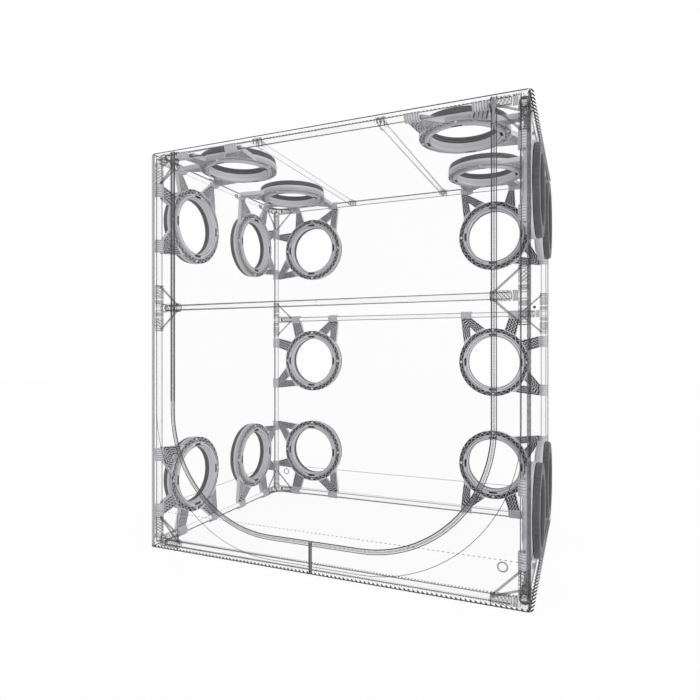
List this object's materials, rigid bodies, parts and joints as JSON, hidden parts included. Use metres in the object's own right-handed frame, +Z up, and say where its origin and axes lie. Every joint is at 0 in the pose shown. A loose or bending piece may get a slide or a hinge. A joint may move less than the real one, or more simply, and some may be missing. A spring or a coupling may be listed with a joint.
{
  "type": "indoor grow tent",
  "caption": "Box-shaped indoor grow tent: tube frame in plug-in connectors, sewn cover with a U-zip door, and round clip-on duct ports with twist lock rings on walls and roof.",
  "frame": {"origin": "on the floor, under the middle of the whole object's box", "axes": "+X to the right as seen from the door's side, +Y from the door to the back wall, +Z up"},
  "size_m": [0.9256, 0.6202, 0.9928],
  "materials": {
    "frame_tube": "white powder coat, semi-gloss",
    "connector_plastic": "moulded, fine grip pattern",
    "port_plastic": "moulded, satin",
    "ring_plastic": "moulded, matte",
    "cover_film": "woven cover shown see-through",
    "trim_fabric": "woven binding tape and zip tape",
    "zip_metal": "dark plated, worn edges"
  },
  "bodies": {
    "tent": {"front_left_post": "frame_tube", "front_right_post": "frame_tube", "back_left_post": "frame_tube", "back_right_post": "frame_tube", "front_bottom_bar": "frame_tube", "front_middle_bar": "frame_tube", "front_top_bar": "frame_tube", "back_bottom_bar": "frame_tube", "back_middle_bar": "frame_tube", "back_top_bar": "frame_tube", "left_bottom_bar": "frame_tube", "left_top_bar": "frame_tube", "right_bottom_bar": "frame_tube", "right_top_bar": "frame_tube", "left_wall": "cover_film", "right_wall": "cover_film", "back_wall": "cover_film", "roof_panel": "cover_film", "floor_panel": "cover_film", "front_surround": "cover_film", "port_plate_left_upper_front": "port_plastic", "port_plate_left_lower_front": "port_plastic", "port_plate_roof_front_left": "port_plastic", "port_plate_left_upper_back": "port_plastic", "port_plate_left_lower_back": "port_plastic", "port_plate_roof_back_left": "port_plastic", "port_plate_back_upper_left": "port_plastic", "port_plate_back_middle_left": "port_plastic", "port_plate_back_lower_left": "port_plastic", "port_plate_right_upper_front": "port_plastic", "port_plate_right_lower_front": "port_plastic", "port_plate_roof_front_right": "port_plastic", "port_plate_right_upper_back": "port_plastic", "port_plate_right_lower_back": "port_plastic", "port_plate_roof_back_right": "port_plastic", "port_plate_back_upper_right": "port_plastic", "port_plate_back_middle_right": "port_plastic", "port_plate_back_lower_right": "port_plastic"},
    "door": {"door_panel": "cover_film"},
    "slider": {"zip_slider": "zip_metal"},
    "left_bar_hooks": {"left_crossbar": "frame_tube"},
    "right_bar_hooks": {"right_crossbar": "frame_tube"},
    "lock_ring_left_upper_front": {"port_ring_left_upper_front": "ring_plastic"},
    "lock_ring_left_lower_front": {"port_ring_left_lower_front": "ring_plastic"},
    "lock_ring_roof_front_left": {"port_ring_roof_front_left": "ring_plastic"},
    "lock_ring_left_upper_back": {"port_ring_left_upper_back": "ring_plastic"},
    "lock_ring_left_lower_back": {"port_ring_left_lower_back": "ring_plastic"},
    "lock_ring_roof_back_left": {"port_ring_roof_back_left": "ring_plastic"},
    "lock_ring_back_upper_left": {"port_ring_back_upper_left": "ring_plastic"},
    "lock_ring_back_middle_left": {"port_ring_back_middle_left": "ring_plastic"},
    "lock_ring_back_lower_left": {"port_ring_back_lower_left": "ring_plastic"},
    "lock_ring_right_upper_front": {"port_ring_right_upper_front": "ring_plastic"},
    "lock_ring_right_lower_front": {"port_ring_right_lower_front": "ring_plastic"},
    "lock_ring_roof_front_right": {"port_ring_roof_front_right": "ring_plastic"},
    "lock_ring_right_upper_back": {"port_ring_right_upper_back": "ring_plastic"},
    "lock_ring_right_lower_back": {"port_ring_right_lower_back": "ring_plastic"},
    "lock_ring_roof_back_right": {"port_ring_roof_back_right": "ring_plastic"},
    "lock_ring_back_upper_right": {"port_ring_back_upper_right": "ring_plastic"},
    "lock_ring_back_middle_right": {"port_ring_back_middle_right": "ring_plastic"},
    "lock_ring_back_lower_right": {"port_ring_back_lower_right": "ring_plastic"}
  },
  "joints": [
    {"name": "twist_left_upper_front", "type": "hinge", "parent": "tent", "child": "lock_ring_left_upper_front", "pos_m": [-0.4375, -0.15025, 0.8275], "axis": [-1, 0, 0], "range_deg": [0, 8]},
    {"name": "twist_left_lower_front", "type": "hinge", "parent": "tent", "child": "lock_ring_left_lower_front", "pos_m": [-0.4375, -0.15025, 0.1525], "axis": [-1, 0, 0], "range_deg": [0, 8]},
    {"name": "twist_roof_front_left", "type": "hinge", "parent": "tent", "child": "lock_ring_roof_front_left", "pos_m": [-0.2975, -0.15025, 0.9675], "axis": [0, 0, 1], "range_deg": [0, 8]},
    {"name": "twist_left_upper_back", "type": "hinge", "parent": "tent", "child": "lock_ring_left_upper_back", "pos_m": [-0.4375, 0.14475, 0.8275], "axis": [-1, 0, 0], "range_deg": [0, 8]},
    {"name": "twist_left_lower_back", "type": "hinge", "parent": "tent", "child": "lock_ring_left_lower_back", "pos_m": [-0.4375, 0.14475, 0.1525], "axis": [-1, 0, 0], "range_deg": [0, 8]},
    {"name": "twist_roof_back_left", "type": "hinge", "parent": "tent", "child": "lock_ring_roof_back_left", "pos_m": [-0.2975, 0.14475, 0.9675], "axis": [0, 0, 1], "range_deg": [0, 8]},
    {"name": "twist_back_upper_left", "type": "hinge", "parent": "tent", "child": "lock_ring_back_upper_left", "pos_m": [-0.2975, 0.28475, 0.8275], "axis": [0, 1, 0], "range_deg": [0, 8]},
    {"name": "twist_back_middle_left", "type": "hinge", "parent": "tent", "child": "lock_ring_back_middle_left", "pos_m": [-0.2975, 0.28475, 0.45486], "axis": [0, 1, 0], "range_deg": [0, 8]},
    {"name": "twist_back_lower_left", "type": "hinge", "parent": "tent", "child": "lock_ring_back_lower_left", "pos_m": [-0.2975, 0.28475, 0.1525], "axis": [0, 1, 0], "range_deg": [0, 8]},
    {"name": "twist_right_upper_front", "type": "hinge", "parent": "tent", "child": "lock_ring_right_upper_front", "pos_m": [0.4375, -0.15025, 0.8275], "axis": [1, 0, 0], "range_deg": [0, 8]},
    {"name": "twist_right_lower_front", "type": "hinge", "parent": "tent", "child": "lock_ring_right_lower_front", "pos_m": [0.4375, -0.15025, 0.1525], "axis": [1, 0, 0], "range_deg": [0, 8]},
    {"name": "twist_roof_front_right", "type": "hinge", "parent": "tent", "child": "lock_ring_roof_front_right", "pos_m": [0.2975, -0.15025, 0.9675], "axis": [0, 0, 1], "range_deg": [0, 8]},
    {"name": "twist_right_upper_back", "type": "hinge", "parent": "tent", "child": "lock_ring_right_upper_back", "pos_m": [0.4375, 0.14475, 0.8275], "axis": [1, 0, 0], "range_deg": [0, 8]},
    {"name": "twist_right_lower_back", "type": "hinge", "parent": "tent", "child": "lock_ring_right_lower_back", "pos_m": [0.4375, 0.14475, 0.1525], "axis": [1, 0, 0], "range_deg": [0, 8]},
    {"name": "twist_roof_back_right", "type": "hinge", "parent": "tent", "child": "lock_ring_roof_back_right", "pos_m": [0.2975, 0.14475, 0.9675], "axis": [0, 0, 1], "range_deg": [0, 8]},
    {"name": "twist_back_upper_right", "type": "hinge", "parent": "tent", "child": "lock_ring_back_upper_right", "pos_m": [0.2975, 0.28475, 0.8275], "axis": [0, 1, 0], "range_deg": [0, 8]},
    {"name": "twist_back_middle_right", "type": "hinge", "parent": "tent", "child": "lock_ring_back_middle_right", "pos_m": [0.2975, 0.28475, 0.45486], "axis": [0, 1, 0], "range_deg": [0, 8]},
    {"name": "twist_back_lower_right", "type": "hinge", "parent": "tent", "child": "lock_ring_back_lower_right", "pos_m": [0.2975, 0.28475, 0.1525], "axis": [0, 1, 0], "range_deg": [0, 8]},
    {"name": "door_lift", "type": "hinge", "parent": "tent", "child": "door", "pos_m": [0, -0.30225, 0.978], "axis": [-1, 0, 0], "range_deg": [0, 100]},
    {"name": "zip_travel", "type": "slide", "parent": "door", "child": "slider", "axis": [0, 0, -1], "range_m": [0, 0.6]},
    {"name": "left_crossbar_shift", "type": "slide", "parent": "tent", "child": "left_bar_hooks", "axis": [1, 0, 0], "range_m": [-0.035, 0.12]},
    {"name": "right_crossbar_shift", "type": "slide", "parent": "tent", "child": "right_bar_hooks", "axis": [1, 0, 0], "range_m": [-0.12, 0.035]}
  ]
}
